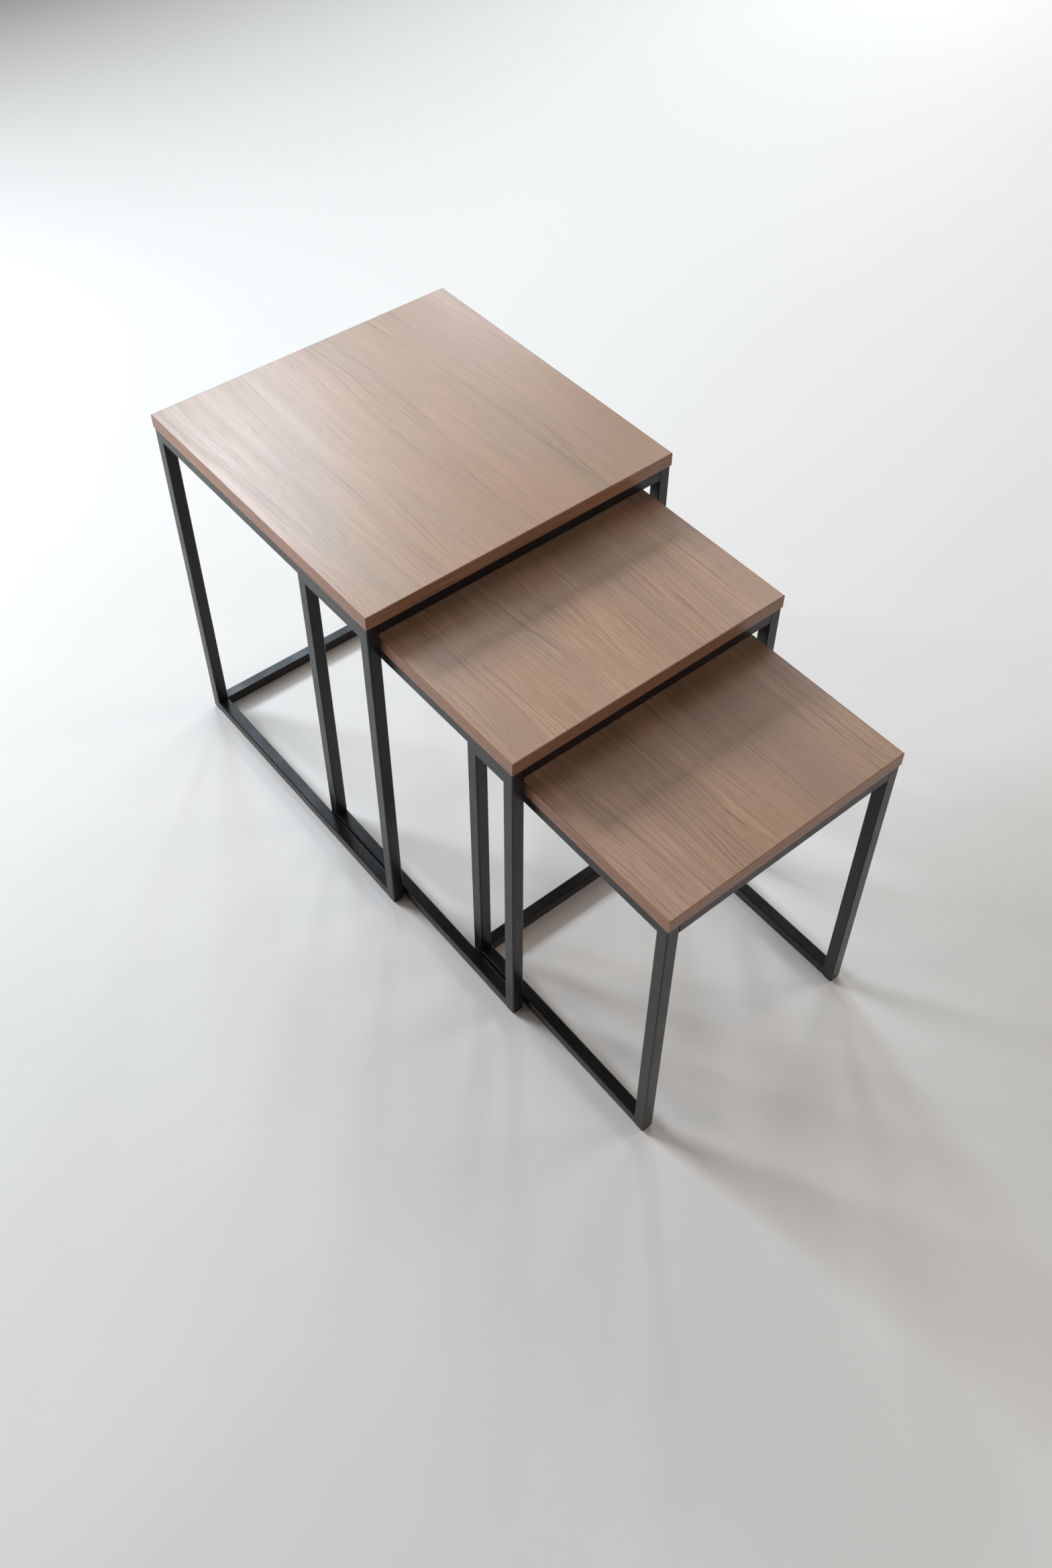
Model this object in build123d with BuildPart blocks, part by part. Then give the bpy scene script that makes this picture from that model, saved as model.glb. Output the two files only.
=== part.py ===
from build123d import *
import os

# A nest of three side tables, drawn out towards the front.
# X runs across the tables, Y from front to back and Z up, in millimetres.
# The origin is on the floor, in the middle of the whole set as it stands.

# ---- Frame stock: square steel tube, welded into frames and powder coated ----
tube = 18.0  # outside, each way
tube_wall = 1.5
tube_corner = 2.0  # outer corner radius

# ---- Boards: chipboard with a decorative sheet on top and banding round the edge ----
core_thickness = 20.0
laminate = 1.0
edge_band = 1.2
band_arris = 0.5  # flat trimmed along the banding's long outer edges
overhang = 1.0  # how far a board stands past its frame

# ---- Glides: plastic pads stuck under the four corners of a frame ----
glide_side = 16.5
glide_height = 2.5
glide_corner = 2.5  # cut off the pad's upright corners
glide_rim = 0.8  # flat round the pad's lower edge

# ---- Corner tabs, and the hex-head tapping screws that hold the board down on them ----
tab_leg = 34.0  # length of a tab along each rail
tab_nose = 8.0  # blunt end of a tab, where its weld stops
tab_thickness = 3.0
screw_inset = 11.0  # screw centre from each of the two rails
screw_radius = 2.1
screw_head_flats = 7.0
screw_head_height = 2.8
screw_length = 16.0  # under the head
screw_clearance = 0.2  # between the screw and the holes in tab and board

# ---- Large table ----
large_width = 500.0
large_depth = 510.0
large_height = 595.0

# ---- How the smaller tables fit inside ----
nest_side_gap = 11.0  # each side, between a board and the legs it passes between
middle_depth = 450.0
small_depth = 362.0
middle_headroom = 9.0  # over the middle table, under the rails of the large one
small_headroom = 15.0  # over the small table, under the rails of the middle one

# ---- How far they are drawn out ----
middle_pull = 255.0  # middle front edge ahead of the large one
small_pull = 243.5  # small front edge ahead of the middle one
middle_left_gap = 1.0  # left edge of the middle board to the large table's legs
small_left_gap = 3.0  # left edge of the small board to the middle table's legs

# ---- Worked out from the above ----
board = core_thickness + laminate
step_in = 2 * (overhang + tube + nest_side_gap)
middle_width = large_width - step_in
small_width = middle_width - step_in
middle_height = large_height - board - tube - middle_headroom
small_height = middle_height - board - tube - small_headroom

set_depth = large_depth + middle_pull + small_pull
large_front = set_depth / 2 - large_depth
middle_front = large_front - middle_pull
small_front = middle_front - small_pull
middle_centre = middle_left_gap - nest_side_gap
small_centre = middle_centre + small_left_gap - nest_side_gap

os.makedirs("parts", exist_ok=True)


def save(piece, label):
    """Labels a finished piece and writes it."""
    piece.part.label = label
    export_step(piece.part, f"parts/{label}.step")


def tube_run(start, length, mitres=()):
    """A hollow square tube that grows from the plane start, cut back by mitre planes."""
    with BuildPart() as run:
        with BuildSketch(start):
            RectangleRounded(tube, tube, tube_corner)
            Rectangle(tube - 2 * tube_wall, tube - 2 * tube_wall, mode=Mode.SUBTRACT)
        extrude(amount=length)
        for mitre in mitres:
            split(bisect_by=mitre, keep=Keep.TOP)
    return run


def side_loop(name, side, x, front, back, low, high):
    """Two legs and two rails, mitred into a closed loop that lies across x."""

    def mitre(y, z, into_y, into_z):
        """The 45 degree cut through the loop's corner at y, z, facing what is kept."""
        return Plane((x, y, z), x_dir=(1, 0, 0), z_dir=(0, into_y, into_z))

    for end, y, inward in (("front", front, 1), ("back", back, -1)):
        foot = Plane((x, y + inward * tube / 2, low))
        cuts = (mitre(y, low, -inward, 1), mitre(y, high, -inward, -1))
        save(tube_run(foot, high - low, cuts), f"{name}_{end}_{side}_leg")

    for level, z, inward in (("bottom", low, 1), ("top", high, -1)):
        end_on = Plane((x, front, z + inward * tube / 2), x_dir=(1, 0, 0), z_dir=(0, 1, 0))
        cuts = (mitre(front, z, 1, -inward), mitre(back, z, -1, -inward))
        save(tube_run(end_on, back - front, cuts), f"{name}_{side}_{level}_rail")


def cross_rail(label, x, y, z, length):
    """A square-cut tube butted between the two side loops, centred on x."""
    end_on = Plane((x - length / 2, y, z), x_dir=(0, 1, 0), z_dir=(1, 0, 0))
    save(tube_run(end_on, length), label)


def glides(floor, spacing):
    """Four pads on the floor, one under each leg."""
    with BuildPart() as pads:
        with BuildSketch(floor):
            with GridLocations(*spacing, 2, 2):
                Rectangle(glide_side, glide_side)
            chamfer(vertices(), glide_corner)
        extrude(amount=glide_height)
        chamfer(faces().filter_by(Axis.Z).group_by(Axis.Z)[0].edges(), glide_rim)
    return pads


def corner_tabs(plane, half_width, half_depth, spacing):
    """Four gussets inside the frame's corners, sketched in one corner and mirrored."""
    with BuildPart() as gussets:
        with BuildSketch(plane):
            with BuildLine():
                Polyline(
                    (half_width, half_depth),
                    (half_width - tab_leg, half_depth),
                    (half_width - tab_leg, half_depth - tab_nose),
                    (half_width - tab_nose, half_depth - tab_leg),
                    (half_width, half_depth - tab_leg),
                    close=True,
                )
            make_face()
            mirror(about=Plane.YZ)
            mirror(about=Plane.XZ)
            with GridLocations(*spacing, 2, 2):
                Circle(screw_radius + screw_clearance, mode=Mode.SUBTRACT)
        extrude(amount=tab_thickness)
    return gussets


def screws(plane, spacing):
    """Four flat-ended hex-head screws, with their heads seated under the plane."""
    with BuildPart() as fixings:
        with BuildSketch(plane):
            with GridLocations(*spacing, 2, 2):
                RegularPolygon(screw_head_flats / 2, 6, major_radius=False)
        extrude(amount=-screw_head_height)
        with BuildSketch(plane):
            with GridLocations(*spacing, 2, 2):
                Circle(screw_radius)
        extrude(amount=screw_length)
    return fixings


def board_core(plane, width, depth, spacing):
    """The chipboard, with blind pilot holes from below for the screws."""
    with BuildPart() as core:
        with BuildSketch(plane):
            Rectangle(width, depth)
        extrude(amount=core_thickness)
        with BuildSketch(plane):
            with GridLocations(*spacing, 2, 2):
                Circle(screw_radius + screw_clearance)
        extrude(amount=screw_length - tab_thickness + screw_clearance, mode=Mode.SUBTRACT)
    return core


def top_laminate(plane, width, depth):
    """The decorative sheet glued over the core."""
    with BuildPart() as decor:
        with BuildSketch(plane):
            Rectangle(width, depth)
        extrude(amount=laminate)
    return decor


def bands(plane, along, length, apart):
    """A pair of edge bands of one length, with their outer faces this far apart."""
    across = Axis.Y if along == Axis.X else Axis.X
    size = (length, edge_band) if along == Axis.X else (edge_band, length)
    spacing = (0, apart - edge_band) if along == Axis.X else (apart - edge_band, 0)
    count = (1, 2) if along == Axis.X else (2, 1)
    with BuildPart() as pair:
        with BuildSketch(plane):
            with GridLocations(*spacing, *count):
                Rectangle(*size)
        extrude(amount=board)
        outer = edges().filter_by(along).group_by(across)
        chamfer(outer[0] + outer[-1], band_arris)
    return pair


def table(name, width, depth, height, centre, front, back_rail):
    """All the pieces of one table, from the floor up."""
    under_board = height - board
    frame_width = width - 2 * overhang
    frame_depth = depth - 2 * overhang
    frame_front = front + overhang
    frame_back = frame_front + frame_depth
    floor = Plane((centre, front + depth / 2, 0))

    leg_spacing = (frame_width - tube, frame_depth - tube)
    save(glides(floor, leg_spacing), f"{name}_glides")

    for side, x in (("left", centre - leg_spacing[0] / 2), ("right", centre + leg_spacing[0] / 2)):
        side_loop(name, side, x, frame_front, frame_back, glide_height, under_board)

    between = frame_width - 2 * tube
    top = under_board - tube / 2
    cross_rail(f"{name}_front_top_rail", centre, frame_front + tube / 2, top, between)
    cross_rail(f"{name}_back_top_rail", centre, frame_back - tube / 2, top, between)
    if back_rail:
        low = glide_height + tube / 2
        cross_rail(f"{name}_back_bottom_rail", centre, frame_back - tube / 2, low, between)

    half_width = frame_width / 2 - tube
    half_depth = frame_depth / 2 - tube
    spacing = (2 * (half_width - screw_inset), 2 * (half_depth - screw_inset))
    under_tabs = floor.offset(under_board - tab_thickness)
    save(corner_tabs(under_tabs, half_width, half_depth, spacing), f"{name}_corner_tabs")
    save(screws(under_tabs, spacing), f"{name}_screws")

    core_size = (width - 2 * edge_band, depth - 2 * edge_band)
    seat = floor.offset(under_board)
    save(board_core(seat, *core_size, spacing), f"{name}_board_core")
    save(top_laminate(seat.offset(core_thickness), *core_size), f"{name}_top_laminate")
    save(bands(seat, Axis.X, width, depth), f"{name}_front_back_bands")
    save(bands(seat, Axis.Y, core_size[1], width), f"{name}_side_bands")


table("large", large_width, large_depth, large_height, 0, large_front, True)
table("middle", middle_width, middle_depth, middle_height, middle_centre, middle_front, False)
table("small", small_width, small_depth, small_height, small_centre, small_front, True)
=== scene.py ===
# %% [markdown]
# # A nest of three side tables
#
# The object is three open frames of square steel tube, powder coated black, each with a
# walnut-look board on top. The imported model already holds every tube, board layer, tab, glide
# and screw at its real size, so this lesson is about finish: what each surface is made of, how
# it was made in the factory, and which nodes give the same look.
#
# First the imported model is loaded.

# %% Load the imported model
import math

import bpy
from mathutils import Matrix, Vector


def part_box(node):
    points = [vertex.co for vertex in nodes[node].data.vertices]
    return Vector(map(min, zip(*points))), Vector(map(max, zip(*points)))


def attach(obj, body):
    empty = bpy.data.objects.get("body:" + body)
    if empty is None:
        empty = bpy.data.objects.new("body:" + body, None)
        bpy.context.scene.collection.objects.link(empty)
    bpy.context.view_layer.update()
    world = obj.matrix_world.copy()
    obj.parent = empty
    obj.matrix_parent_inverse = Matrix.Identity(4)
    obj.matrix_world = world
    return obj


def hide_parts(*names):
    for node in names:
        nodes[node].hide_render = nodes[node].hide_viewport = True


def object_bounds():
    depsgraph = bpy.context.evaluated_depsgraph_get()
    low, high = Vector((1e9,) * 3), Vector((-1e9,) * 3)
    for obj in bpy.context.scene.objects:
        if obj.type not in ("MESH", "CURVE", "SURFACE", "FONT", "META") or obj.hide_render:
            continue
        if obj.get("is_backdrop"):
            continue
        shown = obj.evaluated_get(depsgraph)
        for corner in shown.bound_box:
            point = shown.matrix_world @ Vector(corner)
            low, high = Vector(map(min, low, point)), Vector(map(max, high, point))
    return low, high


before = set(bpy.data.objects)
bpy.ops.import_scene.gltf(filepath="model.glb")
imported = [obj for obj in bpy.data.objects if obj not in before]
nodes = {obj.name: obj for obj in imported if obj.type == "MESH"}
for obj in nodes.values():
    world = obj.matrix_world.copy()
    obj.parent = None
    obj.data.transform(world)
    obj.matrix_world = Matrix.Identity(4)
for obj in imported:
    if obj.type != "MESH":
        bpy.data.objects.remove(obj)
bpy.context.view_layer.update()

MM = 0.001
TABLES = ("large", "middle", "small")


# %% [markdown]
# ## Camera
#
# The set is seen from high up at the front left, through a lens of about 35 mm. The frame is
# upright, and the camera's back is shifted a little, as on a view camera, so that the tables sit
# above the middle of the picture while the camera keeps its own direction.
#
# A camera could be aimed with a constraint at an empty. Here its direction is built from three
# turns, heading, pitch and roll, because then each number says one thing about how it is held.

# %% Camera
CAMERA_PLACE = Vector((-0.909, -1.110, 1.862))
CAMERA_HEADING = math.radians(-39.43)
CAMERA_DOWN = math.radians(46.88)
CAMERA_ROLL = math.radians(0.37)
LENS_MM = 34.59
SENSOR_MM = 36.0
SHIFT_UP = -0.0712

camera_data = bpy.data.cameras.new("camera")
camera_data.sensor_width = SENSOR_MM
camera_data.lens = LENS_MM
camera_data.shift_y = SHIFT_UP
camera = bpy.data.objects.new("camera", camera_data)
bpy.context.scene.collection.objects.link(camera)
camera.matrix_world = (
    Matrix.Translation(CAMERA_PLACE)
    @ Matrix.Rotation(CAMERA_HEADING, 4, "Z")
    @ Matrix.Rotation(math.pi / 2 - CAMERA_DOWN, 4, "X")
    @ Matrix.Rotation(CAMERA_ROLL, 4, "Z")
)
bpy.context.scene.camera = camera
bpy.context.scene.view_settings.view_transform = "Standard"
print("camera", round(CAMERA_PLACE.length, 2), "m from the origin")


# %% [markdown]
# ## Light
#
# The room has windows in the wall behind the tables. Two low ones are the brightest: a wide one
# far to the left and a narrow one to the right, and they throw the long soft shadows over the
# floor. A tall one, nearly behind the tables, shows in the boards' lacquer as a pale sheen towards
# their far left. A smaller high one helps it, and the lit cornice above shows in the top faces of
# the low rails. Panels at the sides and in front are the room's walls, and a faint ceiling reaches
# into the shade under the edges of the boards.
#
# A sun lamp would give one direction and a hard edge. Area lamps as large as the windows give the
# width of a shadow's edge too. The world could stand for the walls, but it would light the fronts
# of the black tubes as much as their sides, so it is kept almost dark and panels do that work. Only
# where the camera sees past the floor is it pale, as a studio wall would be.
#
# A lamp's watts depend on its size. What the eye compares is how bright each window looks, so that
# is the number given, and the watts are worked out from it. The windows don't overlap in the wall,
# because each would then hide a part of the other in reflections. The left one is kept out of
# reflections altogether, as behind a net curtain: from low down it would glare white on the boards.

# %% Windows and walls
WALL_X = 3.6
WALL_Y = 3.4
FRONT_WALL_Y = -3.8
TO_FRONT = (0, -1, 0)
TO_BACK = (0, 1, 0)
TO_LEFT = (-1, 0, 0)
TO_RIGHT = (1, 0, 0)
DOWN = (0, 0, -1)
DAYLIGHT = (0.92, 1.0, 1.10)
CLEAR_SKY = (0.80, 1.0, 1.14)
WHITE_WALL = (1.0, 1.0, 1.0)
WARM_WALL = (1.22, 1.0, 0.85)


def area_lamp(name, place, facing, size, brightness, tint):
    """A rectangular lamp that shines along facing, seen in reflections but not by the camera."""
    data = bpy.data.lights.new(name, "AREA")
    data.shape = "RECTANGLE"
    data.size, data.size_y = size
    data.energy = brightness * math.pi * size[0] * size[1]
    data.color = tint
    lamp = bpy.data.objects.new(name, data)
    bpy.context.scene.collection.objects.link(lamp)
    lamp.location = place
    lamp.rotation_euler = Vector(facing).to_track_quat("-Z", "Y").to_euler()
    lamp.visible_camera = False
    return lamp


# Each row: name, middle, facing, width and height, brightness, tint
LAMPS = (
    ("left_window", (-1.6, WALL_Y, 2.08), TO_FRONT, (1.6, 0.75), 47.5, DAYLIGHT),
    ("tall_window", (1.2, WALL_Y, 3.4), TO_FRONT, (0.8, 1.2), 15.0, CLEAR_SKY),
    ("high_window", (2.0, WALL_Y, 3.05), TO_FRONT, (0.8, 0.5), 5.0, WHITE_WALL),
    ("right_window", (2.8, WALL_Y, 2.28), TO_FRONT, (0.8, 0.35), 49.0, DAYLIGHT),
    ("cornice", (1.4, WALL_Y, 4.5), TO_FRONT, (1.6, 1.0), 2.8, WHITE_WALL),
    ("ceiling", (0.0, 1.6, 5.0), DOWN, (4.8, 2.4), 0.7, WHITE_WALL),
    ("far_left_panel", (-WALL_X, 2.0, 0.75), TO_RIGHT, (2.0, 1.3), 6.5, WARM_WALL),
    ("far_right_panel", (WALL_X, 2.0, 2.6), TO_LEFT, (2.0, 4.6), 2.2, WHITE_WALL),
    ("right_panel", (WALL_X, -2.0, 1.6), TO_LEFT, (2.0, 2.6), 3.4, WARM_WALL),
    ("front_panel", (0.0, FRONT_WALL_Y, 1.6), TO_BACK, (4.0, 2.6), 0.7, WHITE_WALL),
)
lamps = {row[0]: area_lamp(*row) for row in LAMPS}
lamps["left_window"].visible_glossy = False
for lamp in lamps.values():
    print(lamp.name, round(lamp.data.energy, 1), "W")


# %% [markdown]
# ## Building a material
#
# Every finish below is a small tree of nodes that ends in one Principled shader. Wiring a tree by
# hand takes three lines for each node, so a few helpers keep the recipes short: `add` makes a
# node and wires its inputs, and `maths`, `fit`, `noise` and `blend` are the nodes that come up
# most.
#
# The patterns read Object coordinates, which are metres here, so a scale of 1000 means one
# feature each millimetre.

# %% Helpers for nodes
def add(tree, kind, inputs=None, **settings):
    """A node of that kind, with its settings made and its inputs set or wired."""
    node = tree.nodes.new(kind)
    for name, value in settings.items():
        setattr(node, name, value)
    for key, value in (inputs or {}).items():
        if isinstance(value, bpy.types.NodeSocket):
            tree.links.new(value, node.inputs[key])
        else:
            node.inputs[key].default_value = value
    return node


def maths(tree, operation, first, second=0.0, clamp=False):
    """The result of one Math node."""
    inputs = {0: first, 1: second}
    return add(tree, "ShaderNodeMath", inputs, operation=operation, use_clamp=clamp).outputs[0]


def fit(tree, value, low, high, to_low=0.0, to_high=1.0):
    """Value brought from low..high to to_low..to_high along a smooth step."""
    inputs = {
        "Value": value,
        "From Min": low,
        "From Max": high,
        "To Min": to_low,
        "To Max": to_high,
    }
    node = add(tree, "ShaderNodeMapRange", inputs, interpolation_type="SMOOTHSTEP")
    return node.outputs["Result"]


def noise(tree, place, stretch, detail=2.0, roughness=0.5, seed=0.0):
    """Noise from 0 to 1, with this many features per metre along X, Y and Z."""
    mapping = add(
        tree,
        "ShaderNodeMapping",
        {"Vector": place, "Location": (seed, seed * 0.7, seed * 0.3), "Scale": stretch},
    )
    inputs = {
        "Vector": mapping.outputs["Vector"],
        "Scale": 1.0,
        "Detail": detail,
        "Roughness": roughness,
    }
    return add(tree, "ShaderNodeTexNoise", inputs).outputs[0]


def blend(tree, factor, first, second, kind="MIX"):
    """Two colours blended by a factor. A Mix node's colour sockets are numbers 6, 7 and 2."""
    inputs = {0: factor, 6: first, 7: second}
    return add(tree, "ShaderNodeMix", inputs, data_type="RGBA", blend_type=kind).outputs[2]


print("node helpers ready")


# %% [markdown]
# A finish starts from an empty material. Its shader and its coordinates are handed back with it,
# so that a recipe only says what it adds.

# %% Helpers for finishes
def finish_material(name):
    """An empty material with its Principled shader, tree and Object coordinates."""
    material = bpy.data.materials.new(name)
    material.use_nodes = True
    tree = material.node_tree
    shader = tree.nodes["Principled BSDF"]
    place = add(tree, "ShaderNodeTexCoord").outputs["Object"]
    return material, tree, shader, place


def raised(tree, shader, height, distance, strength=1.0):
    """Wires a height to the shader's normal as a bump of that distance in metres."""
    inputs = {"Height": height, "Distance": distance, "Strength": strength}
    bump = add(tree, "ShaderNodeBump", inputs)
    tree.links.new(bump.outputs["Normal"], shader.inputs["Normal"])


def paint(material, *names):
    """Puts one material on each of these CAD nodes."""
    for name in names:
        mesh = nodes[name].data
        mesh.materials.clear()
        mesh.materials.append(material)


def shade(red, green, blue):
    """A colour given on an sRGB screen's scale, 0 to 255, as the linear values that a shader takes.
    """
    linear = [((c / 255 + 0.055) / 1.055) ** 2.4 for c in (red, green, blue)]
    return (*linear, 1.0)


print("finish helpers ready")


# %% [markdown]
# ## Backdrop
#
# The world is a tree of nodes too. A Light Path node tells a ray that comes straight from the
# camera from one that lights a surface, so the two can be given different shades.

# %% Backdrop
WALL_LIGHT = (0.02, 0.02, 0.02, 1.0)
BACKDROP = (0.80, 0.80, 0.79, 1.0)

world = bpy.data.worlds.new("studio")
bpy.context.scene.world = world
world.use_nodes = True
sky = world.node_tree.nodes["Background"]
seen = add(world.node_tree, "ShaderNodeLightPath").outputs["Is Camera Ray"]
sky_shade = blend(world.node_tree, seen, WALL_LIGHT, BACKDROP)
world.node_tree.links.new(sky_shade, sky.inputs["Color"])
print("backdrop", BACKDROP[:3])


# %% [markdown]
# ## Floor
#
# The tables stand on a pale seamless studio floor. A real one is painted board or paper, never
# quite even, so its colour and gloss drift slowly. It is marked as stage: it isn't part of the
# object.
#
# The lamps only reach a few metres, so a plain floor would turn dark towards the horizon. A studio
# sweeps its paper up into the backdrop there. Here the floor fades into the backdrop's own shade
# instead, by its distance from the middle, well outside what lights the tables.

# %% Floor
FLOOR_SIZE = 40.0
FADE_FROM = 3.3
FADE_TO = 4.6
FLOOR_DULL = shade(241, 239, 234)
FLOOR_PALE = shade(245, 244, 240)
BLACK = (0.0, 0.0, 0.0, 1.0)

bpy.ops.object.select_all(action="DESELECT")
bpy.ops.mesh.primitive_plane_add(size=FLOOR_SIZE, location=(0.0, 0.0, 0.0))
floor = bpy.context.active_object
floor.name = "floor"
floor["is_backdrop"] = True

floor_paint, tree, shader, place = finish_material("floor_paint")
drift = noise(tree, place, (0.9, 0.9, 0.9), detail=3.0)
floor_colour = blend(tree, drift, FLOOR_DULL, FLOOR_PALE)
distance = add(tree, "ShaderNodeVectorMath", {0: place}, operation="LENGTH").outputs["Value"]
faded = fit(tree, distance, FADE_FROM, FADE_TO)
roughness = fit(tree, drift, 0.2, 0.8, to_low=0.55, to_high=0.7)
tree.links.new(blend(tree, faded, floor_colour, BLACK), shader.inputs["Base Color"])
tree.links.new(roughness, shader.inputs["Roughness"])
shader.inputs["Emission Color"].default_value = BACKDROP
tree.links.new(faded, shader.inputs["Emission Strength"])
floor.data.materials.append(floor_paint)
print("floor", FLOOR_SIZE, "m, fading from", FADE_FROM, "m")


# %% [markdown]
# ## Powder coat
#
# The frames are sprayed with dry powder that melts in an oven. It flows into a skin with a very
# fine orange peel, satin rather than glossy, that thins on sharp edges and collects a little dust
# and handling polish. The look depends on reflections: faces seen at a glancing angle mirror the
# pale floor and turn grey, and faces seen squarely stay almost black.
#
# A plain black would lose that. Here the base is a near black that drifts slightly, the roughness
# varies over a few centimetres, and two sizes of bump give the orange peel. A Bevel node bends the
# surface's normal near an edge, so where it differs from the true normal the coat is worn paler.

# %% Powder coat
COAT_DARK = shade(18, 18, 19)
COAT_LIGHT = shade(26, 26, 27)
COAT_EDGE = shade(62, 62, 63)
COAT_EDGE_RADIUS = 1.2 * MM
COAT_IOR = 1.5
COAT_FACING = 0.5  # how much of its mirror the coat keeps when it is seen squarely
PEEL_HEIGHT = 0.02 * MM
GRIT_SHARE = 0.3


def powder_coat():
    """Near-black satin paint with orange peel and slightly worn edges."""
    material, tree, shader, place = finish_material("powder_coat")
    cloud = noise(tree, place, (22.0, 22.0, 22.0), detail=3.0)
    peel = noise(tree, place, (900.0, 900.0, 900.0), detail=1.0)
    grit = noise(tree, place, (2600.0, 2600.0, 2600.0), detail=0.0)
    rounded = add(tree, "ShaderNodeBevel", {"Radius": COAT_EDGE_RADIUS}, samples=4)
    surface = add(tree, "ShaderNodeNewGeometry")
    turned = add(
        tree,
        "ShaderNodeVectorMath",
        {0: rounded.outputs["Normal"], 1: surface.outputs["Normal"]},
        operation="DOT_PRODUCT",
    )
    worn = fit(tree, turned.outputs["Value"], 0.995, 0.9)
    patchy = maths(tree, "MULTIPLY", worn, fit(tree, cloud, 0.35, 0.75))
    body = blend(tree, cloud, COAT_DARK, COAT_LIGHT)
    tree.links.new(blend(tree, patchy, body, COAT_EDGE), shader.inputs["Base Color"])
    satin = fit(tree, cloud, 0.25, 0.75, to_low=0.25, to_high=0.35)
    tree.links.new(satin, shader.inputs["Roughness"])
    shader.inputs["IOR"].default_value = COAT_IOR
    shader.inputs["Specular Tint"].default_value = (COAT_FACING, COAT_FACING, COAT_FACING, 1.0)
    height = maths(tree, "ADD", peel, maths(tree, "MULTIPLY", grit, GRIT_SHARE))
    raised(tree, shader, height, PEEL_HEIGHT, strength=0.6)
    return material


coat = powder_coat()
coated = [n for n in nodes if n.endswith(("_leg", "_rail", "_corner_tabs"))]
paint(coat, *coated)
print("coated", len(coated), "nodes")


# %% [markdown]
# ## Walnut-look laminate
#
# The top sheet is printed and embossed, so the grain is a picture of quarter-cut wood: it runs
# from front to back on every board. Six things make it up, from large to small: hand-wide
# patches that lean pink, tan or grey; growth rings, each with one crisp dark side and one that
# fades; streaks about a centimetre apart; fibres a few millimetres apart; long dark hairlines
# finer still; and short dark pores.
#
# One image would give all of this at once, but it would repeat and it can't be kept here. Wave
# textures look too regular. So the recipe starts with a place that is counted across and along
# the grain, and bends it with a stretched noise, because real fibres run side by side and bend
# together. Each later pattern reads that bent place.

# %% The grain's own directions
BROAD_BEND = 0.045
SHORT_BEND = 0.010


def grain_place(tree, place, corner, order):
    """Metres across, along and into a sheet, from its corner, for axes in this order."""
    to_corner = {"Vector": place, "Location": [-v for v in corner]}
    moved = add(tree, "ShaderNodeMapping", to_corner)
    axes = add(tree, "ShaderNodeSeparateXYZ", {"Vector": moved.outputs["Vector"]}).outputs
    swapped = {key: axes[axis] for key, axis in zip("XYZ", order)}
    return add(tree, "ShaderNodeCombineXYZ", swapped).outputs["Vector"]


def bent_grain(tree, grain, seed):
    """The same place with its across axis bent, by up to a centimetre or two."""
    broad = noise(tree, grain, (7.0, 2.2, 1.0), detail=1.0, seed=seed)
    short = noise(tree, grain, (26.0, 8.0, 1.0), detail=1.0, seed=seed + 5)
    bend = maths(tree, "MULTIPLY", maths(tree, "SUBTRACT", broad, 0.5), BROAD_BEND)
    wobble = maths(tree, "MULTIPLY", maths(tree, "SUBTRACT", short, 0.5), SHORT_BEND)
    across = maths(tree, "ADD", bend, wobble)
    shift = add(tree, "ShaderNodeCombineXYZ", {"X": across}).outputs["Vector"]
    bent = add(tree, "ShaderNodeVectorMath", {0: grain, 1: shift}, operation="ADD")
    return bent.outputs["Vector"]


print("grain bends by up to", round((BROAD_BEND + SHORT_BEND) / 2 / MM, 1), "mm")


# %% [markdown]
# Growth rings are contour lines: a saw cuts through nested shells of wood, and the lines crowd
# together or spread apart as the shells tilt. A count that rises across the board, plus a slow
# noise several rings deep, has such contours. Its fraction is a saw tooth, with the crisp side
# and the fading side. A random strength for each ring, faded along its length, keeps most of
# them faint.

# %% Growth rings
RINGS_PER_METRE = 19.0
RING_WANDER = 4.0
HALO_SOFTER = 7.0  # how much softer than its line a ring's halo is
HALO_STRENGTH = 0.35
LINE_CLOSES = 0.985  # where in the ring its crisp side begins to close


def ring_count(tree, grain, seed):
    """How many rings lie between the sheet's corner and this place."""
    across = add(tree, "ShaderNodeSeparateXYZ", {"Vector": grain}).outputs["X"]
    even = maths(tree, "MULTIPLY", across, RINGS_PER_METRE)
    wander = noise(tree, grain, (5.5, 0.9, 1.0), detail=1.0, seed=seed + 7)
    return maths(tree, "ADD", even, maths(tree, "MULTIPLY", wander, RING_WANDER))


def growth_rings(tree, grain, count, sharpness, seed):
    """Dark lines from 0 to 1, one at the end of each ring, each with its own strength."""
    tooth = maths(tree, "FRACT", count)
    number = maths(tree, "ADD", maths(tree, "FLOOR", count), seed)
    random = add(tree, "ShaderNodeTexWhiteNoise", {"W": number}, noise_dimensions="1D")
    crisp = maths(tree, "POWER", tooth, sharpness)
    halo = maths(tree, "POWER", tooth, sharpness / HALO_SOFTER)
    line = maths(tree, "MAXIMUM", crisp, maths(tree, "MULTIPLY", halo, HALO_STRENGTH))
    closing = fit(tree, tooth, 1.0, LINE_CLOSES)
    along = fit(tree, noise(tree, grain, (11.0, 5.0, 1.0), seed=seed + 9), 0.42, 0.68)
    evened = maths(tree, "POWER", random.outputs["Value"], 0.9)
    strength = maths(tree, "MULTIPLY", evened, along)
    return maths(tree, "MULTIPLY", maths(tree, "MULTIPLY", line, closing), strength)


print(RINGS_PER_METRE * 0.5, "rings across half a metre, wandering by", RING_WANDER)


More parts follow.
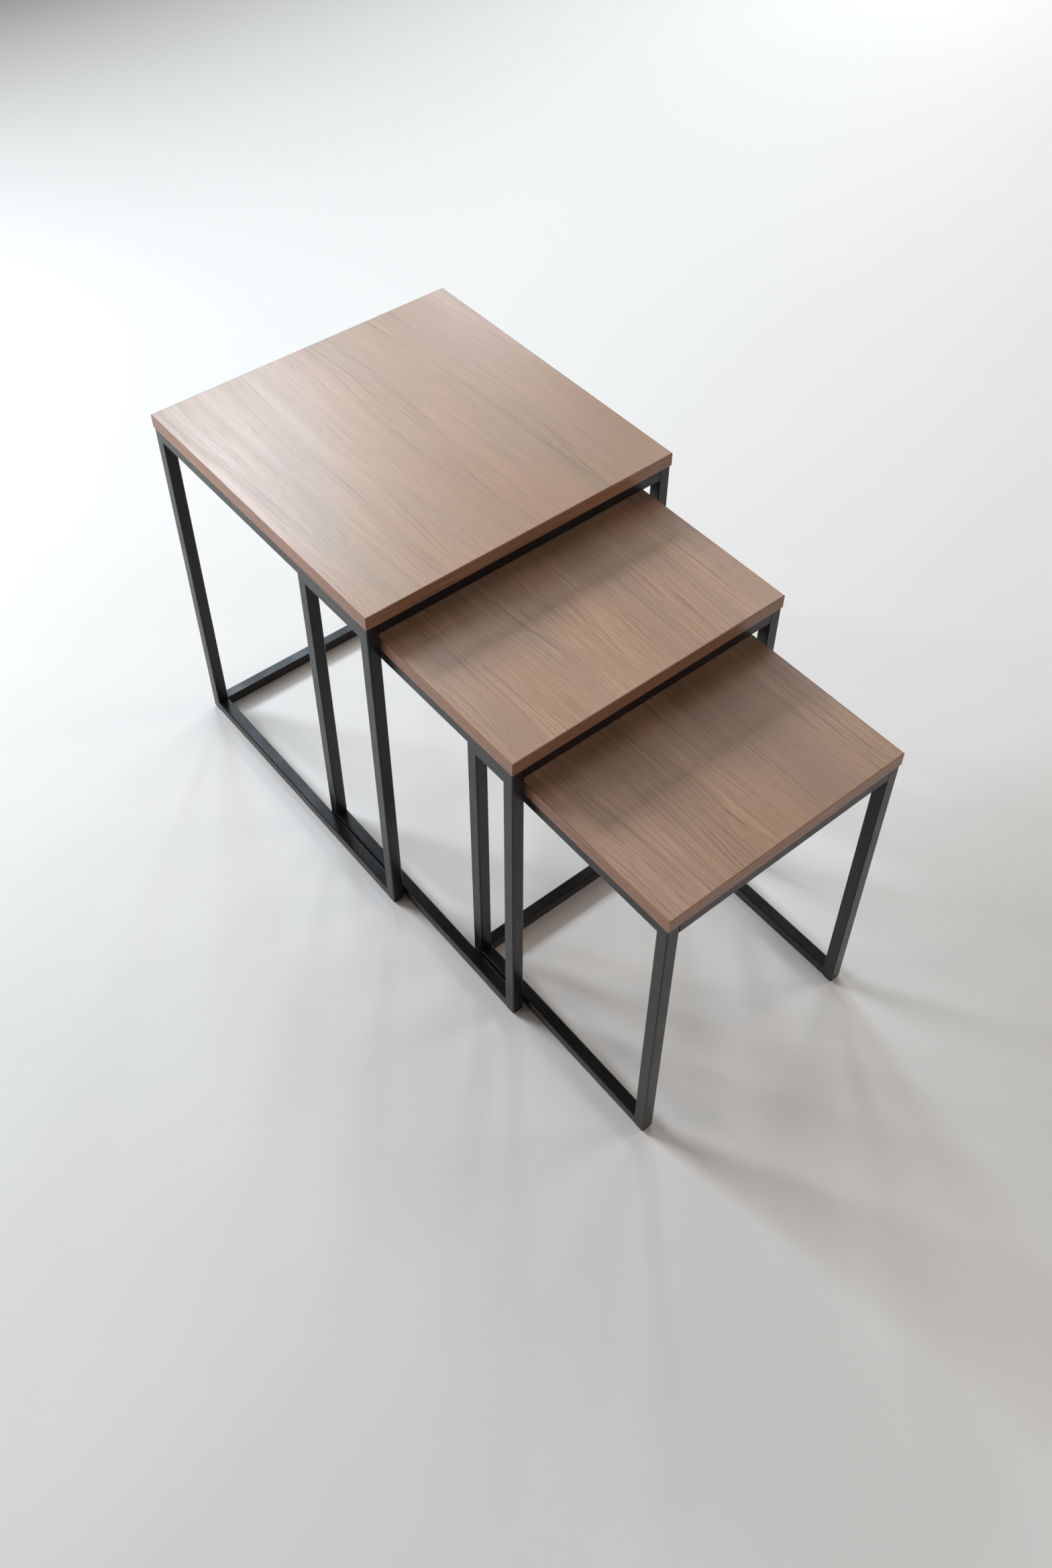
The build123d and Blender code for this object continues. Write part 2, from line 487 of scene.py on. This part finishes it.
# %% [markdown]
# The print is paler and darker at four sizes: patches, streaks, fibres and hairlines. All but the
# patches come in bunches, with calmer wood between them, so they are also multiplied by a slow
# pattern of their own. Without it the grain looks combed.

# %% How pale the print is
# Features per metre across, along and into the sheet
PATCHES = (12.0, 2.4, 1.0)
BUNCHES = (20.0, 3.4, 1.0)
STREAKS = (58.0, 2.6, 1.0)
FIBRES = (380.0, 9.0, 1.0)
HAIRS = (560.0, 4.5, 1.0)
# How far each swings the tone, which is 1 on average
PATCH_SWING = 0.07
STREAK_SWING = 0.06
FIBRE_SWING = 0.09
HAIR_PALE = 0.05
HAIR_DARK = -0.17


def swung(tree, pattern, swing):
    """A pattern as a change of tone, from -swing to swing."""
    return fit(tree, pattern, 0.28, 0.72, -swing, swing)


def grain_tone(tree, grain, seed, contrast):
    """How pale the print is, and the streaks, fibres and bunches that later steps read too."""
    patches = noise(tree, grain, PATCHES, detail=2.0, seed=seed + 2)
    streaks = noise(tree, grain, STREAKS, detail=4.0, roughness=0.74, seed=seed + 3)
    fibres = noise(tree, grain, FIBRES, detail=3.0, roughness=0.72, seed=seed + 4)
    bunches = noise(tree, grain, BUNCHES, detail=2.0, seed=seed + 12)
    hairs = noise(tree, grain, HAIRS, detail=2.0, roughness=0.6, seed=seed + 15)
    bunched = fit(tree, bunches, 0.38, 0.62, 0.45, 1.45)
    bunched_changes = (
        swung(tree, streaks, STREAK_SWING * contrast),
        swung(tree, fibres, FIBRE_SWING * contrast),
        fit(tree, hairs, 0.50, 0.70, HAIR_PALE * contrast, HAIR_DARK * contrast),
    )
    tone = maths(tree, "ADD", swung(tree, patches, PATCH_SWING * contrast), 1.0)
    for change in bunched_changes:
        tone = maths(tree, "ADD", maths(tree, "MULTIPLY", change, bunched), tone)
    return tone, streaks, fibres, bunched


print("hairlines every", round(1 / HAIRS[0] / MM, 1), "mm")


# %% [markdown]
# The patterns are mixed as a printer mixes inks: a ground colour, the tone that makes it paler or
# darker, and brown over that for the ring lines and the pores. Finer rings run between the main
# ones and follow them. Pores crowd where the streaks are dark.

# %% Ground, lines and pores
WALNUT_PINK = shade(184, 148, 123)
WALNUT_TAN = shade(184, 147, 119)
WALNUT_GREY = shade(175, 147, 122)
WALNUT_LINE = shade(84, 54, 36)
WALNUT_PORE = shade(102, 70, 50)
LINE_SHARPNESS = 26.0
FINE_RINGS = 6.1  # to each main ring
FINE_SHARPNESS = 7.0
FINE_STRENGTH = 0.42
LINE_STRENGTH = 0.75


def ground_colour(tree, grain, seed, tint):
    """Brown that leans pink, tan or grey, times a tint if there is one."""
    lean = noise(tree, grain, (9.0, 1.8, 1.0), detail=2.0, seed=seed + 1)
    dull = noise(tree, grain, (12.0, 2.6, 1.0), detail=2.0, seed=seed + 6)
    ground = blend(tree, fit(tree, lean, 0.35, 0.65), WALNUT_PINK, WALNUT_TAN)
    greyed = fit(tree, dull, 0.45, 0.75, to_low=0.0, to_high=0.8)
    ground = blend(tree, greyed, ground, WALNUT_GREY)
    if tint:
        ground = blend(tree, 1.0, ground, (*tint, 1.0), "MULTIPLY")
    return ground


def ring_lines(tree, grain, seed, bunched):
    """The main rings and the finer ones between them, from 0 to 1."""
    count = ring_count(tree, grain, seed)
    rings = growth_rings(tree, grain, count, LINE_SHARPNESS, seed)
    fine_count = maths(tree, "MULTIPLY", count, FINE_RINGS)
    fine = growth_rings(tree, grain, fine_count, FINE_SHARPNESS, seed + 20)
    faint = maths(tree, "MULTIPLY", bunched, FINE_STRENGTH)
    return maths(tree, "MAXIMUM", rings, maths(tree, "MULTIPLY", fine, faint))


def pore_dashes(tree, grain, seed, streaks):
    """Short dark dashes along the grain, from 0 to 1."""
    specks = noise(tree, grain, (900.0, 42.0, 1.0), detail=1.0, seed=seed + 8)
    crowd = fit(tree, streaks, 0.60, 0.36, to_low=0.10, to_high=0.36)
    return maths(tree, "MULTIPLY", fit(tree, specks, 0.60, 0.74), crowd)


print("fine rings every", round(1 / RINGS_PER_METRE / FINE_RINGS / MM, 1), "mm")


# %% [markdown]
# The sheet's lacquer is satin, so a far window shows in it as a wide pale sheen. The pores and
# lines are embossed, and the pores are a little duller than the rest.

# %% The whole walnut recipe
LACQUER_IOR = 1.62
EMBOSSING = 0.03 * MM
LINE_DEPTH = 0.5
FIBRE_HEIGHT = 0.4
PORE_DULLNESS = 0.12


def walnut(name, corner, seed, order="XYZ", contrast=1.0, tint=None):
    """Walnut-look sheet whose grain lies along the second axis of the order."""
    material, tree, shader, place = finish_material(name)
    grain = bent_grain(tree, grain_place(tree, place, corner, order), seed)
    tone, streaks, fibres, bunched = grain_tone(tree, grain, seed, contrast)
    lines = ring_lines(tree, grain, seed, bunched)
    pores = pore_dashes(tree, grain, seed, streaks)

    colour = blend(tree, 1.0, ground_colour(tree, grain, seed, tint), tone, "MULTIPLY")
    inked = maths(tree, "MULTIPLY", lines, LINE_STRENGTH * contrast)
    colour = blend(tree, inked, colour, WALNUT_LINE)
    colour = blend(tree, maths(tree, "MULTIPLY", pores, contrast), colour, WALNUT_PORE)

    polish = fit(tree, streaks, 0.3, 0.7, to_low=0.32, to_high=0.28)
    dulled = maths(tree, "ADD", polish, maths(tree, "MULTIPLY", pores, PORE_DULLNESS))
    tree.links.new(dulled, shader.inputs["Roughness"])
    shader.inputs["IOR"].default_value = LACQUER_IOR
    cut = maths(tree, "MAXIMUM", pores, maths(tree, "MULTIPLY", lines, LINE_DEPTH))
    height = maths(tree, "SUBTRACT", maths(tree, "MULTIPLY", fibres, FIBRE_HEIGHT), cut)
    raised(tree, shader, height, EMBOSSING, strength=0.35)
    return material, tree, shader, colour


print("walnut recipe ready")


# %% [markdown]
# Each board is cut from another place of the print, so the three tops differ. The two smaller
# ones come from livelier wood. Over the print each board carries painted light and shade: its
# whole colour is scaled, the small one's darker as painted shade and the other two a little paler
# as painted light, and every board is painted paler towards its left and darker towards its
# right, as a painted sheen.

# %% Laminate on the three tops
TOP_CONTRAST = {"large": 0.8, "middle": 1.25, "small": 1.25}
TOP_PAINTED_LIGHT_AND_SHADE = {"large": 1.05, "middle": 1.02, "small": 0.90}
LEFT_PAINTED_SHEEN = 1.07
RIGHT_PAINTED_SHADE = 0.95

for number, table in enumerate(TABLES):
    low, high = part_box(f"{table}_top_laminate")
    place_in_print = 11.0 * (number + 1)
    top, tree, shader, colour = walnut(
        f"{table}_walnut_top", low, place_in_print, contrast=TOP_CONTRAST[table]
    )
    place = add(tree, "ShaderNodeTexCoord").outputs["Object"]
    across = add(tree, "ShaderNodeSeparateXYZ", {"Vector": place}).outputs["X"]
    tone = TOP_PAINTED_LIGHT_AND_SHADE[table]
    # Painted light and shade: the whole top is scaled paler or darker, and runs from a painted
    # sheen at its left to painted shade at its right.
    side = fit(tree, across, low.x, high.x, LEFT_PAINTED_SHEEN * tone, RIGHT_PAINTED_SHADE * tone)
    tree.links.new(blend(tree, 1.0, colour, side, "MULTIPLY"), shader.inputs["Base Color"])
    paint(top, f"{table}_top_laminate")
    print(table, "top", [round(v, 3) for v in high - low])


# %% [markdown]
# ## Edge banding
#
# The boards' edges are closed with a printed plastic band, ironed on and trimmed to a small
# arris. Its print is redder and darker than the top, and its grain runs along each edge, so on
# the front and back bands it lies along X with Z across it, and on the side bands along Y. The
# trimming knife scrapes the print off the arris and leaves it paler.
#
# The arris could be a material of its own on its faces. It is simpler to read the surface's true
# normal: only on an arris does it point both sideways and up or down. The upright part of the
# normal, times what it lacks of 1, is nothing on a level or an upright face and most between them.

# %% Edge banding
BAND_TINT = (0.51, 0.425, 0.40)
BAND_IOR = 1.42
BAND_CONTRAST = 1.5
ARRIS_SHADE = shade(176, 140, 116)
SCRAPED = 0.8


def banding(name, corner, seed, order):
    """Walnut-look band, redder and darker than the tops, with a pale arris."""
    material, tree, shader, colour = walnut(
        name, corner, seed, order, contrast=BAND_CONTRAST, tint=BAND_TINT
    )
    shader.inputs["IOR"].default_value = BAND_IOR
    normal = add(tree, "ShaderNodeNewGeometry").outputs["True Normal"]
    facing = add(tree, "ShaderNodeSeparateXYZ", {"Vector": normal}).outputs
    upright = maths(tree, "ABSOLUTE", facing["Z"])
    between = maths(tree, "MULTIPLY", upright, maths(tree, "SUBTRACT", 1.0, upright))
    scraped = maths(tree, "MULTIPLY", fit(tree, between, 0.1, 0.2), SCRAPED)
    tree.links.new(blend(tree, scraped, colour, ARRIS_SHADE), shader.inputs["Base Color"])
    return material


for number, table in enumerate(TABLES):
    for bands, order in (("front_back_bands", "ZXY"), ("side_bands", "ZYX")):
        low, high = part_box(f"{table}_{bands}")
        place_in_print = 5.0 + 7.0 * number
        edge = banding(f"{table}_{bands}_walnut", low, place_in_print, order)
        paint(edge, f"{table}_{bands}")
        print(table, bands, round((high.z - low.z) / MM, 1), "mm high")


# %% [markdown]
# ## Chipboard and its backing paper
#
# The board is chipboard, but its laminate and bands close it in, and under it there is a plain
# backing paper that keeps it flat. Only that paper shows. Its print is a dull brown, mottled with
# short fibres, so two noises are enough: one wide and faint, one fine and drawn out along Y.

# %% Backing paper
PAPER_DARK = shade(126, 104, 88)
PAPER_PALE = shade(142, 120, 102)
PAPER_FLECK = shade(98, 80, 68)
PAPER_HEIGHT = 0.03 * MM


def backing_paper():
    """Dull brown paper with dark flecks."""
    material, tree, shader, place = finish_material("backing_paper")
    cloud = noise(tree, place, (30.0, 12.0, 30.0), detail=4.0)
    flecks = noise(tree, place, (700.0, 260.0, 700.0), detail=2.0)
    fleck_strength = fit(tree, flecks, 0.55, 0.75, to_low=0.0, to_high=0.4)
    colour = blend(tree, cloud, PAPER_DARK, PAPER_PALE)
    colour = blend(tree, fleck_strength, colour, PAPER_FLECK)
    roughness = fit(tree, flecks, 0.3, 0.7, to_low=0.62, to_high=0.75)
    tree.links.new(colour, shader.inputs["Base Color"])
    tree.links.new(roughness, shader.inputs["Roughness"])
    raised(tree, shader, flecks, PAPER_HEIGHT, strength=0.5)
    return material


boards = [f"{table}_board_core" for table in TABLES]
paint(backing_paper(), *boards)
print("backed", len(boards), "boards")


# %% [markdown]
# ## Glides
#
# The feet are thin pads of moulded black plastic. The mould was etched, so they are duller than
# the coat above them, and sliding over a floor has scuffed them grey. A second material with its
# own bump keeps the seam between foot and tube visible, where one black would hide it.

# %% Glides
PAD_BLACK = shade(28, 28, 28)
PAD_SCUFF = shade(58, 57, 55)
PAD_GRAIN = 0.03 * MM


def pad_plastic():
    """Etched black plastic with grey scuffs."""
    material, tree, shader, place = finish_material("pad_plastic")
    grain = noise(tree, place, (1500.0, 1500.0, 1500.0), detail=2.0)
    scuff = noise(tree, place, (160.0, 160.0, 160.0), detail=3.0)
    scuffed = fit(tree, scuff, 0.5, 0.8, to_low=0.0, to_high=0.5)
    roughness = fit(tree, scuff, 0.3, 0.7, to_low=0.55, to_high=0.72)
    tree.links.new(blend(tree, scuffed, PAD_BLACK, PAD_SCUFF), shader.inputs["Base Color"])
    tree.links.new(roughness, shader.inputs["Roughness"])
    raised(tree, shader, grain, PAD_GRAIN, strength=0.6)
    return material


pads = [f"{table}_glides" for table in TABLES]
paint(pad_plastic(), *pads)
print("glides in", len(pads), "groups")


# %% [markdown]
# ## Screws
#
# Four hex-head tapping screws hold each board down, driven up through the corner tabs. They are
# seen only from below. Their finish comes first. It is steel plated with zinc: a pale metal, blue
# in one place and warm in the next, with fine crystals and a few dull stains. A plain grey metal
# would look like chrome, so the shade and the roughness both follow a fine noise.

# %% Zinc plate
ZINC_BLUE = shade(176, 178, 180)
ZINC_WARM = shade(204, 203, 198)
ZINC_STAIN = shade(150, 144, 128)
SPANGLE_HEIGHT = 0.01 * MM


def zinc():
    """Pale zinc with fine crystals and a few yellow-grey stains."""
    material, tree, shader, place = finish_material("zinc_plate")
    cloud = noise(tree, place, (400.0, 400.0, 400.0), detail=3.0)
    stain = noise(tree, place, (90.0, 90.0, 90.0), detail=2.0)
    stained = fit(tree, stain, 0.5, 0.75, to_low=0.0, to_high=0.5)
    colour = blend(tree, cloud, ZINC_BLUE, ZINC_WARM)
    colour = blend(tree, stained, colour, ZINC_STAIN)
    roughness = fit(tree, cloud, 0.3, 0.7, to_low=0.28, to_high=0.42)
    tree.links.new(colour, shader.inputs["Base Color"])
    shader.inputs["Metallic"].default_value = 1.0
    tree.links.new(roughness, shader.inputs["Roughness"])
    raised(tree, shader, cloud, SPANGLE_HEIGHT, strength=0.4)
    return material


plated = zinc()
print("plated", plated.name)


# %% [markdown]
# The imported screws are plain: a prism and a pin. A real head is stamped from round wire, so its
# flats end in arcs at a cone-shaped rim and its face is dished, and the shank carries a rolled
# thread that ends in a point.
#
# The head could be a prism with its corners cut. Making it round first and cutting the flats
# afterwards gives the true arcs with no boolean: a disc gets its rim bevelled and its face dished,
# and six bisects cut it to a hexagon. Faces are picked by where they are and which way they look,
# because an operator gives new faces new numbers.

# %% A round head with its face dished
HEAD_FLATS = 7.0 * MM
HEAD_CORNERS = HEAD_FLATS / math.cos(math.radians(30))
HEAD_HEIGHT = 2.8 * MM
HEAD_SIDES = 36
RIM_CUT = 0.5 * MM
FACE_RING = 0.7 * MM  # flat, round the dish
DISH_WALL = 0.35 * MM
DISH_DEPTH = 0.5 * MM


def select_faces(piece, chosen):
    """Edit mode, with only those faces selected whose middle and normal are chosen."""
    bpy.context.view_layer.objects.active = piece
    bpy.ops.object.mode_set(mode="EDIT")
    bpy.ops.mesh.select_mode(type="FACE")
    bpy.ops.mesh.select_all(action="DESELECT")
    bpy.ops.object.mode_set(mode="OBJECT")
    for face in piece.data.polygons:
        face.select = chosen(face.center, face.normal)
    bpy.ops.object.mode_set(mode="EDIT")


def round_head():
    """A disc that hangs under Z = 0, with its rim bevelled and its face dished."""
    bpy.ops.object.select_all(action="DESELECT")
    bpy.ops.mesh.primitive_cylinder_add(
        vertices=HEAD_SIDES,
        radius=HEAD_CORNERS / 2,
        depth=HEAD_HEIGHT,
        location=(0, 0, -HEAD_HEIGHT / 2),
    )
    head = bpy.context.active_object
    bpy.ops.object.transform_apply(location=True, rotation=False, scale=False)
    select_faces(head, lambda middle, normal: normal.z < -0.9)
    bpy.ops.mesh.bevel(offset=RIM_CUT, segments=1, affect="EDGES")
    select_faces(head, lambda middle, normal: normal.z < -0.99)
    bpy.ops.mesh.inset(thickness=FACE_RING)
    bpy.ops.mesh.inset(thickness=DISH_WALL)
    bpy.ops.transform.translate(value=(0, 0, DISH_DEPTH))
    bpy.ops.object.mode_set(mode="OBJECT")
    return head


screw = round_head()
print("head", [round(v / MM, 2) for v in screw.dimensions], "mm")


# %% [markdown]
# The disc's back is inset to the shank's root and extruded: out along the thread's lower flank,
# up over its crest and in along the upper flank, once for each turn. The first ring is tipped by
# the thread's lead and the rest follow it. A true helix would have to be spun, and then joined to
# the head and the point by hand, and at this size a tipped ring looks the same. After the last
# turn the ring is levelled and drawn in to a point.

# %% A thread pulled out of the head, ring by ring
SHANK_RADIUS = 2.1 * MM
SHANK_LENGTH = 16.0 * MM
THREAD_TURNS = 10
THREAD_DEPTH = 0.5 * MM
THREAD_LEAD = math.radians(7.0)
FLANK = 0.45  # share of a turn's height on each flank
CREST = 0.10  # and on the crest between them
POINT_LENGTH = 3.0 * MM
POINT_BLUNT = 0.12  # width left at the tip


def grow(height, size, top):
    """Extrudes the selected ring up by height, resizes it, and gives its new level."""
    bpy.ops.mesh.extrude_region_move(TRANSFORM_OT_translate={"value": (0, 0, height)})
    bpy.ops.transform.resize(value=(size, size, 1), center_override=(0, 0, top + height))
    return top + height


def pull_thread(head):
    """The shank, with a ridge to each turn, tipped like a thread, and a point."""
    root = (SHANK_RADIUS - THREAD_DEPTH) / SHANK_RADIUS
    pitch = (SHANK_LENGTH - POINT_LENGTH) / THREAD_TURNS
    select_faces(head, lambda middle, normal: normal.z > 0.99)
    bpy.ops.mesh.inset(thickness=HEAD_CORNERS / 2 - SHANK_RADIUS * root)
    top = 0.0
    for turn in range(THREAD_TURNS):
        top = grow(FLANK * pitch, 1 / root, top)
        if turn == 0:
            bpy.ops.transform.rotate(
                value=THREAD_LEAD, orient_axis="X", center_override=(0, 0, top)
            )
        top = grow(CREST * pitch, 1.0, top)
        top = grow(FLANK * pitch, root, top)
    bpy.ops.transform.rotate(value=-THREAD_LEAD, orient_axis="X", center_override=(0, 0, top))
    grow(POINT_LENGTH, POINT_BLUNT, top)
    bpy.ops.object.mode_set(mode="OBJECT")


pull_thread(screw)
print("shank", round(max(v.co.z for v in screw.data.vertices) / MM, 1), "mm long")


# %% [markdown]
# Each cut takes off what lies outside one flat and closes the hole that it leaves. The bevelled rim
# is a cone, so the flat meets it in an arc. Shading is smoothed only over small angles: the round
# parts look round, and the flats and the thread's crests stay crisp.

# %% Six flats cut on the head
SAME_POINT = 0.001 * MM
SMOOTH_BELOW = math.radians(32)


def cut_flats(head):
    """Six cuts that leave the head a hexagon, a corner on X."""
    select_faces(head, lambda middle, normal: True)
    for side in range(6):
        angle = math.radians(60 * side + 30)
        outward = Vector((math.cos(angle), math.sin(angle), 0))
        bpy.ops.mesh.select_all(action="SELECT")
        bpy.ops.mesh.bisect(
            plane_co=outward * HEAD_FLATS / 2,
            plane_no=outward,
            threshold=SAME_POINT,
            use_fill=True,
            clear_outer=True,
        )
    bpy.ops.mesh.select_all(action="SELECT")
    bpy.ops.mesh.normals_make_consistent(inside=False)
    bpy.ops.object.mode_set(mode="OBJECT")


cut_flats(screw)
bpy.ops.object.shade_smooth_by_angle(angle=SMOOTH_BELOW)
print("screw", [round(v / MM, 2) for v in screw.dimensions], "mm")
print(len(screw.data.polygons), "faces")


# %% [markdown]
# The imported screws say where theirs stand: the box of each group touches the outer heads, so a
# screw's centre is half a head in from its corner. Every copy gets a mesh of its own, and the four
# are joined into one piece that rides with its table and takes the plain screws' place.

# %% Four screws under each board
def screw_places(node):
    """The four screws' centres under the board, at the level of their heads' seats."""
    low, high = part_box(node)
    seat = low.z + HEAD_HEIGHT
    for x in (low.x + HEAD_CORNERS / 2, high.x - HEAD_CORNERS / 2):
        for y in (low.y + HEAD_FLATS / 2, high.y - HEAD_FLATS / 2):
            yield Vector((x, y, seat))


def copy_to(placed, name):
    """One piece of copies of models, each with its own mesh, moved to its place and joined."""
    copies = []
    for model, place in placed:
        copy = model.copy()
        copy.data = model.data.copy()
        copy.location = place
        bpy.context.scene.collection.objects.link(copy)
        copies.append(copy)
    bpy.ops.object.select_all(action="DESELECT")
    for copy in copies:
        copy.select_set(True)
    bpy.context.view_layer.objects.active = copies[0]
    bpy.ops.object.transform_apply(location=True, rotation=True, scale=True)
    bpy.ops.object.join()
    copies[0].name = name
    return copies[0]


for table in TABLES:
    placed = [(screw, place) for place in screw_places(f"{table}_screws")]
    screws = copy_to(placed, f"{table}_hex_screws")
    screws.data.materials.append(plated)
    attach(screws, f"{table}_table")
    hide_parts(f"{table}_screws")
    print(screws.name, [round(v / MM, 1) for v in screws.dimensions], "mm")
bpy.data.objects.remove(screw)


# %% [markdown]
# ## Weld beads
#
# Each corner tab is held by two short fillet welds, one along each rail. A welder lays a bead as
# a row of small overlapping pools, so it is rippled, thick where it starts and thin where it
# stops. The powder coat goes over it.
#
# A curve with a bevel would give a smooth bead, and ripples on it would need a texture. Drawing
# the bead out ring by ring, as the thread was, gives each pool its own swell. Only the quarter
# that stands in the corner shows: the rest lies inside the tab and the rail, as melted metal does.

# %% One bead, drawn out pool by pool
BEAD_RADIUS = 1.9 * MM
BEAD_SIDES = 10
BEAD_ENDS = 0.6  # how wide a bead starts
BEAD_TAIL = 0.4  # how much of its width is left where it stops
BEAD_POOLS = 9
POOL_PITCH = 2.7 * MM
POOL_SWELL = 1.3
POOL_RISE = 0.55  # share of a pool's length over which it swells
POOL_FALL = 0.45
BEAD_LENGTH = BEAD_POOLS * POOL_PITCH
BEAD_SMOOTH = math.radians(60)


def lay_bead(name, along):
    """A rippled bead centred on the origin, that lies along X or Y."""
    bpy.ops.object.select_all(action="DESELECT")
    bpy.ops.mesh.primitive_circle_add(
        vertices=BEAD_SIDES,
        radius=BEAD_RADIUS * BEAD_ENDS,
        fill_type="NGON",
        location=(0, 0, -BEAD_LENGTH / 2),
    )
    bead = bpy.context.active_object
    bead.name = name
    bpy.ops.object.transform_apply(location=True, rotation=False, scale=False)
    select_faces(bead, lambda middle, normal: True)
    level = -BEAD_LENGTH / 2
    swell = 1.0 / BEAD_ENDS
    for pool in range(BEAD_POOLS):
        level = grow(POOL_RISE * POOL_PITCH, swell, level)
        level = grow(POOL_FALL * POOL_PITCH, 1 / POOL_SWELL, level)
        swell = POOL_SWELL
    grow(POOL_PITCH / 2, BEAD_TAIL, level)
    bpy.ops.mesh.select_all(action="SELECT")
    bpy.ops.mesh.normals_make_consistent(inside=False)
    quarter_turn = math.radians(90)
    axis = "Y" if along == "X" else "X"
    bpy.ops.transform.rotate(value=quarter_turn, orient_axis=axis, center_override=(0, 0, 0))
    bpy.ops.object.mode_set(mode="OBJECT")
    bpy.ops.object.shade_smooth_by_angle(angle=BEAD_SMOOTH)
    return bead


beads = {along: lay_bead(f"bead_along_{along}", along) for along in "XY"}
for bead in beads.values():
    print(bead.name, [round(v / MM, 1) for v in bead.dimensions], "mm")


# %% [markdown]
# The box of a table's tabs has its corners where the rails meet, at the level of the tabs'
# underside. From each corner one bead runs along X and one along Y, starting a little way out,
# because a welder can't reach right into the corner.

# %% Two beads at each corner tab
BEAD_START = 5.0 * MM


def bead_places(node):
    """A bead with its place for each rail that a tab meets, at the level of the tabs' underside."""
    low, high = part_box(node)
    inward = BEAD_START + BEAD_LENGTH / 2
    for x, to_x in ((low.x, 1), (high.x, -1)):
        for y, to_y in ((low.y, 1), (high.y, -1)):
            yield beads["X"], Vector((x + to_x * inward, y, low.z))
            yield beads["Y"], Vector((x, y + to_y * inward, low.z))


for table in TABLES:
    welds = copy_to(bead_places(f"{table}_corner_tabs"), f"{table}_tab_welds")
    welds.data.materials.append(coat)
    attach(welds, f"{table}_table")
    print(welds.name, len(welds.data.polygons), "faces")
for bead in beads.values():
    bpy.data.objects.remove(bead)


# %% [markdown]
# ## The finished size
#
# The looks must not change the object's size, so the box of all that is shown, without the floor,
# is printed.

# %% Size
low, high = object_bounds()
print("visual box", [round(v, 4) for v in high - low])
